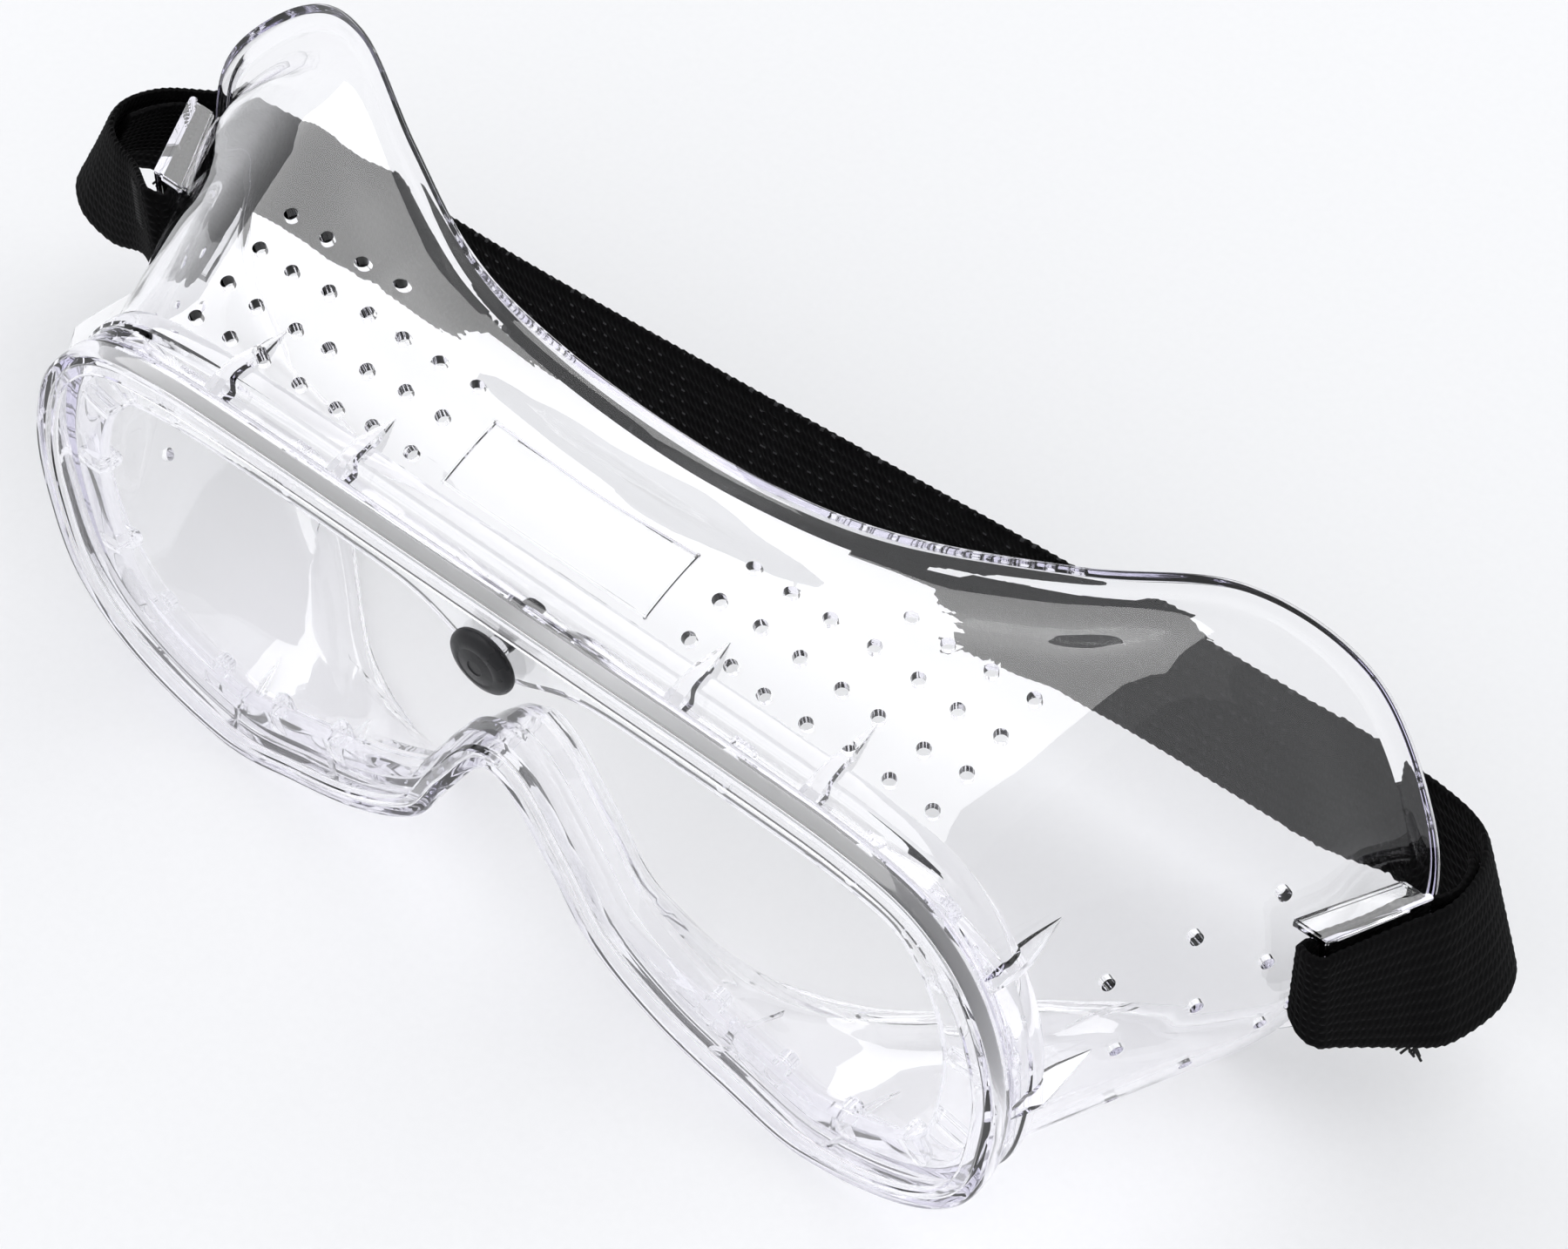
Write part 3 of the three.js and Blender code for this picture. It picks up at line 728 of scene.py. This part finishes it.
def build_strap(name, stations):
    edges, at = resample(stations, PICK)
    top, bottom = edges[:, :3], edges[:, 3:]
    middle = (top + bottom) / 2
    along = unit(np.gradient(middle, axis=0))
    down = unit(bottom - top)
    face = unit(np.cross(along, down))
    across = 4 * RIBS
    share = np.linspace(0, 1, across + 1)
    half = STRAP["thickness"] / 2
    pick = np.arange(len(at))
    scallop = WEAVE["scallop"] * np.array((1.0, 0.2, -0.6))[pick % 3]
    sides = []
    for sign in (1, -1):
        column = []
        for v in share:
            cord = abs(math.sin(math.pi * RIBS * v)) ** 0.7
            weft = WEAVE["weft"] * np.where((pick + int(v * RIBS)) % 2 == 0, 1.0, -1.0)
            lift = half - WEAVE["ground"] + WEAVE["cord"] * cord + weft * cord
            from_selvedge = min(1, min(v, 1 - v) * 16)
            lift = lift * (0.55 + 0.45 * math.sqrt(from_selvedge))
            p = top + (bottom - top) * v + face * (sign * lift)[:, None]
            if v in (0, 1):
                outwards = down if v else -down
                p = p + outwards * (scallop + WEAVE["edge"])[:, None]
            column.append(p)
        sides.append(column if sign == 1 else column[::-1])
    rows = np.stack(sides[0] + sides[1], axis=1)
    strap = swept(name, rows, closed=False, smooth_angle=60)
    uv = strap.data.uv_layers.new(name="strap")
    count = rows.shape[1]
    lengths = at * MM
    for loop in strap.data.loops:
        row, j = divmod(loop.vertex_index, count)
        v = share[j] if j <= across else share[2 * across + 1 - j]
        uv.data[loop.index].uv = (lengths[row] / UV_METRES, v)
    return strap


def tube(points, radius, sides=7):
    """A thin thread along points."""
    points = np.array(points, float)
    along = unit(np.gradient(points, axis=0))
    side = unit(np.cross(along, (0.3, 0.2, 0.93)))
    other = np.cross(along, side)
    turn = np.arange(sides) * math.tau / sides
    rows = [
        p + radius * (np.outer(np.cos(turn), a) + np.outer(np.sin(turn), b))
        for p, a, b in zip(points, side, other)
    ]
    return swept("tool", rows, closed=False)


# Lines of stitches across the strap. "from" and "step" are shares of its width.
STITCH = {
    "lines": 3, "pitch": 1.3, "count": 13, "from": 0.1, "step": 0.035,
    "radius": 0.14, "reach": 0.45, "slant": 0.35, "dip": 0.12,
}
TUFT = {"threads": 9, "radius": 0.17, "spread": 0.5}


def build_stitches(name, stations, from_tail, tuft_at):
    """The bar tack that sews the tail to the strap, with the loose ends of its thread."""
    edges, at = resample(stations, PICK)
    top, bottom = edges[:, :3], edges[:, 3:]
    along = unit(np.gradient((top + bottom) / 2, axis=0))
    down = unit(bottom - top)
    face = unit(np.cross(along, down))
    lift = STRAP["thickness"] / 2 + 0.03
    threads = []
    for line in range(STITCH["lines"]):
        row = np.argmin(abs(at - (from_tail + STITCH["pitch"] * line)))
        for k in range(STITCH["count"]):
            v = STITCH["from"] + STITCH["step"] * k
            base = top[row] + (bottom[row] - top[row]) * v
            # Both ends of a stitch dip into the webbing.
            reach, slant = along[row] * STITCH["reach"], down[row] * STITCH["slant"]
            low = face[row] * (lift - STITCH["dip"])
            high = face[row] * (lift + STITCH["dip"])
            points = [base + reach + low, base + high, base - reach + slant + low]
            threads.append(tube(points, STITCH["radius"]))
    chance = random.Random(11)
    tip = np.array(tuft_at, float)
    wide = TUFT["spread"]
    for _ in range(TUFT["threads"]):
        start = (chance.uniform(-wide, wide), chance.uniform(-wide, wide), 0.7)
        points = [tip + np.array(start)]
        lean = np.array((chance.uniform(-0.25, 0.25), chance.uniform(-0.25, 0.25), -0.3))
        for _ in range(chance.randint(4, 6)):
            stray = np.array([chance.uniform(-0.08, 0.08) for _ in range(3)])
            points.append(points[-1] + lean + stray)
        threads.append(tube(points, TUFT["radius"]))
    stitches = joined(name, threads)
    smooth(stitches, 60)
    return stitches


# ---------------------------------------------------------------- materials


def material(name):
    made = bpy.data.materials.new(name)
    made.use_nodes = True
    nodes = made.node_tree.nodes
    return made, nodes, made.node_tree.links, nodes["Principled BSDF"], nodes["Material Output"]


def node(nodes, kind, **values):
    """A new node. A value goes to the input of that name, or else to the node's own setting."""
    made = nodes.new(kind)
    for key, value in values.items():
        if key in made.inputs:
            made.inputs[key].default_value = value
        else:
            setattr(made, key, value)
    return made


def noise(nodes, links, coordinates, scale, detail):
    made = node(nodes, "ShaderNodeTexNoise", Scale=scale, Detail=detail, Roughness=0.5)
    links.new(coordinates, made.inputs["Vector"])
    return made


def spread(nodes, links, value, low, high, from_low=0.3, from_high=0.7):
    """A value's usual range stretched to low and high."""
    made = nodes.new("ShaderNodeMapRange")
    made.inputs["From Min"].default_value = from_low
    made.inputs["From Max"].default_value = from_high
    made.inputs["To Min"].default_value = low
    made.inputs["To Max"].default_value = high
    links.new(value, made.inputs["Value"])
    return made.outputs["Result"]


def bump(nodes, links, height, distance, strength):
    made = nodes.new("ShaderNodeBump")
    made.inputs["Distance"].default_value = distance
    made.inputs["Strength"].default_value = strength
    links.new(height, made.inputs["Height"])
    return made.outputs["Normal"]


def let_lamps_through(nodes, links, shader, output, tint):
    """Shadows of clear plastic stay light: a lamp's rays pass each surface with this tint."""
    ray = nodes.new("ShaderNodeLightPath")
    passing = node(nodes, "ShaderNodeBsdfTransparent", Color=tint)
    either = nodes.new("ShaderNodeMixShader")
    links.new(ray.outputs["Is Shadow Ray"], either.inputs["Fac"])
    links.new(shader.outputs["BSDF"], either.inputs[1])
    links.new(passing.outputs["BSDF"], either.inputs[2])
    links.new(either.outputs["Shader"], output.inputs["Surface"])


def clear_pvc():
    made, nodes, links, shader, output = material("clear_pvc")
    at = nodes.new("ShaderNodeTexCoord").outputs["Object"]
    shader.inputs["Base Color"].default_value = (1, 1, 1, 1)
    shader.inputs["Transmission Weight"].default_value = 1
    shader.inputs["IOR"].default_value = 1.46
    flow = noise(nodes, links, at, 70, 1)
    haze = noise(nodes, links, at, 40, 1)
    links.new(spread(nodes, links, haze.outputs["Fac"], 0.0, 0.008), shader.inputs["Roughness"])
    normal = bump(nodes, links, flow.outputs["Fac"], 0.0005, 0.25)
    links.new(normal, shader.inputs["Normal"])
    let_lamps_through(nodes, links, shader, output, (0.79, 0.79, 0.8, 1))
    absorb = node(nodes, "ShaderNodeVolumeAbsorption", Density=28.0, Color=(0.84, 0.81, 0.97, 1))
    links.new(absorb.outputs["Volume"], output.inputs["Volume"])
    return made


def clear_lens():
    made, nodes, links, shader, output = material("clear_lens_sheet")
    at = nodes.new("ShaderNodeTexCoord").outputs["Object"]
    shader.inputs["Base Color"].default_value = (1, 1, 1, 1)
    shader.inputs["Transmission Weight"].default_value = 1
    shader.inputs["IOR"].default_value = 1.45
    fine = noise(nodes, links, at, 30, 2)
    edge = node(nodes, "ShaderNodeAttribute", attribute_name="matt_edge").outputs["Fac"]
    rough = node(nodes, "ShaderNodeMath", operation="MAXIMUM")
    links.new(spread(nodes, links, fine.outputs["Fac"], 0.0, 0.006), rough.inputs[0])
    links.new(spread(nodes, links, edge, 0.0, 0.8, 0.9, 1.0), rough.inputs[1])
    links.new(rough.outputs[0], shader.inputs["Roughness"])
    wave = noise(nodes, links, at, 25, 1)
    links.new(bump(nodes, links, wave.outputs["Fac"], 0.0004, 0.12), shader.inputs["Normal"])
    let_lamps_through(nodes, links, shader, output, (0.97, 0.97, 0.97, 1))
    return made


def stud_plastic():
    made, nodes, links, shader, _ = material("stud_plastic")
    at = nodes.new("ShaderNodeTexCoord").outputs["Object"]
    grain = noise(nodes, links, at, 1500, 3)
    broad = noise(nodes, links, at, 300, 2)
    ramp = node(nodes, "ShaderNodeMix", data_type="RGBA")
    ramp.inputs["A"].default_value = (0.006, 0.006, 0.007, 1)
    ramp.inputs["B"].default_value = (0.022, 0.022, 0.024, 1)
    links.new(broad.outputs["Fac"], ramp.inputs["Factor"])
    links.new(ramp.outputs["Result"], shader.inputs["Base Color"])
    links.new(spread(nodes, links, broad.outputs["Fac"], 0.2, 0.42), shader.inputs["Roughness"])
    shader.inputs["Specular IOR Level"].default_value = 0.2
    links.new(bump(nodes, links, grain.outputs["Fac"], 0.00004, 0.5), shader.inputs["Normal"])
    return made


def elastic():
    made, nodes, links, shader, _ = material("woven_elastic")
    uv = node(nodes, "ShaderNodeUVMap", uv_map="strap").outputs["UV"]
    at = nodes.new("ShaderNodeTexCoord").outputs["Object"]
    split = nodes.new("ShaderNodeSeparateXYZ")
    links.new(uv, split.inputs["Vector"])

    def wave(value, count, phase=0.0):
        times = node(nodes, "ShaderNodeMath", operation="MULTIPLY_ADD")
        times.inputs[1].default_value = count * math.tau
        times.inputs[2].default_value = phase
        links.new(value, times.inputs[0])
        made_wave = node(nodes, "ShaderNodeMath", operation="SINE")
        links.new(times.outputs[0], made_wave.inputs[0])
        return made_wave.outputs[0]

    def combine(operation, a, b):
        both = node(nodes, "ShaderNodeMath", operation=operation)
        for socket, value in zip(both.inputs, (a, b)):
            if isinstance(value, float):
                socket.default_value = value
            else:
                links.new(value, socket)
        return both.outputs[0]

    picks = wave(split.outputs["X"], 11.9)
    cords = wave(split.outputs["Y"], RIBS, -math.pi / 2)
    fuzz = noise(nodes, links, at, 2600, 3)
    weave = combine("MULTIPLY", picks, cords)
    height = combine("ADD", weave, fuzz.outputs["Fac"])
    # Light rubber threads show as dots between the cords.
    gap = combine("GREATER_THAN", combine("MULTIPLY", cords, -1.0), 0.86)
    dots = combine("MULTIPLY", gap, combine("GREATER_THAN", wave(split.outputs["X"], 5.95), 0.55))
    speck = combine("GREATER_THAN", noise(nodes, links, at, 700, 1).outputs["Fac"], 0.52)
    place = nodes.new("ShaderNodeSeparateXYZ")
    links.new(at, place.inputs["Vector"])
    stretched = combine("LESS_THAN", combine("ABSOLUTE", place.outputs["X"], 0.0), 0.066)
    dots = combine("MULTIPLY", combine("MULTIPLY", dots, speck), stretched)
    shade = node(nodes, "ShaderNodeMix", data_type="RGBA")
    shade.inputs["A"].default_value = (0.0005, 0.0005, 0.0006, 1)
    shade.inputs["B"].default_value = (0.003, 0.003, 0.0033, 1)
    links.new(fuzz.outputs["Fac"], shade.inputs["Factor"])
    dotted = node(nodes, "ShaderNodeMix", data_type="RGBA")
    dotted.inputs["B"].default_value = (0.035, 0.035, 0.037, 1)
    links.new(dots, dotted.inputs["Factor"])
    links.new(shade.outputs["Result"], dotted.inputs["A"])
    links.new(dotted.outputs["Result"], shader.inputs["Base Color"])
    shader.inputs["Roughness"].default_value = 0.9
    shader.inputs["Specular IOR Level"].default_value = 0.06
    shader.inputs["Sheen Weight"].default_value = 0.01
    shader.inputs["Sheen Roughness"].default_value = 0.5
    links.new(bump(nodes, links, height, 0.00008, 0.7), shader.inputs["Normal"])
    return made


def sewing_thread():
    made, nodes, links, shader, _ = material("sewing_thread")
    at = nodes.new("ShaderNodeTexCoord").outputs["Object"]
    twist = noise(nodes, links, at, 3500, 2)
    tone = node(nodes, "ShaderNodeMix", data_type="RGBA")
    tone.inputs["A"].default_value = (0.006, 0.006, 0.006, 1)
    tone.inputs["B"].default_value = (0.02, 0.02, 0.021, 1)
    links.new(twist.outputs["Fac"], tone.inputs["Factor"])
    links.new(tone.outputs["Result"], shader.inputs["Base Color"])
    shader.inputs["Roughness"].default_value = 0.6
    shader.inputs["Specular IOR Level"].default_value = 0.2
    links.new(bump(nodes, links, twist.outputs["Fac"], 0.00005, 0.6), shader.inputs["Normal"])
    return made


def floor_paper():
    made, nodes, links, shader, _ = material("studio_paper")
    at = nodes.new("ShaderNodeTexCoord").outputs["Object"]
    grain = noise(nodes, links, at, 900, 4)
    tone = node(nodes, "ShaderNodeMix", data_type="RGBA")
    tone.inputs["A"].default_value = (0.86, 0.86, 0.865, 1)
    tone.inputs["B"].default_value = (0.89, 0.89, 0.895, 1)
    links.new(grain.outputs["Fac"], tone.inputs["Factor"])
    links.new(tone.outputs["Result"], shader.inputs["Base Color"])
    shader.inputs["Roughness"].default_value = 0.75
    shader.inputs["Specular IOR Level"].default_value = 0.2
    return made


def paint(obj, made):
    obj.data.materials.clear()
    obj.data.materials.append(made)


# ---------------------------------------------------------------- stage


def build_stage():
    bm = bmesh.new()
    bmesh.ops.create_grid(bm, x_segments=40, y_segments=40, size=2.5)
    mesh = bpy.data.meshes.new("floor")
    bm.to_mesh(mesh)
    bm.free()
    floor = bpy.data.objects.new("floor", mesh)
    floor.location.z = (TABLE_Z - 0.1) * MM  # just under the goggles' lowest face
    bpy.context.scene.collection.objects.link(floor)
    paint(floor, floor_paper())

    world = bpy.data.worlds.new("studio")
    world.use_nodes = True
    world.node_tree.nodes["Background"].inputs["Color"].default_value = (0.97, 0.98, 1, 1)
    world.node_tree.nodes["Background"].inputs["Strength"].default_value = 1.03
    bpy.context.scene.world = world

    def softbox(name, place, size, power, lights_surfaces=True):
        data = bpy.data.lights.new(name, "AREA")
        data.shape = "RECTANGLE"
        data.size, data.size_y = size
        data.energy = power
        lamp = bpy.data.objects.new(name, data)
        lamp.location = place
        lamp.visible_diffuse = lights_surfaces
        lamp.visible_transmission = False  # its light through clear plastic comes with the shadows
        aim = Vector((0, 0.02, 0)) - Vector(place)
        lamp.rotation_euler = aim.to_track_quat("-Z", "Y").to_euler()
        bpy.context.scene.collection.objects.link(lamp)

    softbox("key", (0.35, 0.5, 1.3), (1.6, 1.2), 1.6)
    softbox("fill", (-0.9, -0.5, 0.9), (0.8, 0.8), 0.8)
    softbox("sheen", (-0.36, 0.36, 0.87), (1.0, 1.2), 19, lights_surfaces=False)


def build_camera():
    data = bpy.data.cameras.new("camera")
    data.lens = 109.6
    data.sensor_width = 36
    data.clip_start = 0.01
    camera = bpy.data.objects.new("camera", data)
    camera.location = (0.2322, -0.2254, 0.4267)
    look = Vector((-0.398, 0.473, -0.786))
    camera.rotation_euler = look.to_track_quat("-Z", "Y").to_euler()
    bpy.context.scene.collection.objects.link(camera)
    bpy.context.scene.camera = camera


# ---------------------------------------------------------------- assembly

build_camera()
build_stage()
bpy.context.scene.view_settings.view_transform = "Standard"

# Light crosses many walls of clear plastic.
cycles = bpy.context.scene.cycles
cycles.max_bounces = 28
cycles.transmission_bounces = 28
cycles.glossy_bounces = 8
cycles.transparent_max_bounces = 32

FRAME_NODES = [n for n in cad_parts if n.startswith(("frame_", "lug_"))]

shell = build_frame()
paint(shell, clear_pvc())
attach(shell, "frame")
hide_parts(*FRAME_NODES)

lens = build_lens()
paint(lens, clear_lens())
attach(lens, "frame")
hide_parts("lens")

stud = build_stud()
paint(stud, stud_plastic())
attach(stud, "stud")
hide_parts("lens_stud")

webbing = elastic()
for name, stations, nodes_shown, sign in (
    ("strap_right_half", RIGHT_HALF, ("strap_end_right", "strap_band"), 1),
    ("strap_left_half", LEFT_HALF, ("strap_end_left",), -1),
):
    strap = build_strap(name, stations)
    paint(strap, webbing)
    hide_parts(*nodes_shown)
    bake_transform(strap)

thread = sewing_thread()
for name, stations, from_tail, tuft_at in (
    ("tack_right", RIGHT_HALF, 43.5, (96.6, 45.8, -25.6)),
    ("tack_left", LEFT_HALF, 34, (-104.6, 50.4, -24.6)),
):
    tack = build_stitches(name, stations, from_tail, tuft_at)
    paint(tack, thread)
    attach(tack, "frame")
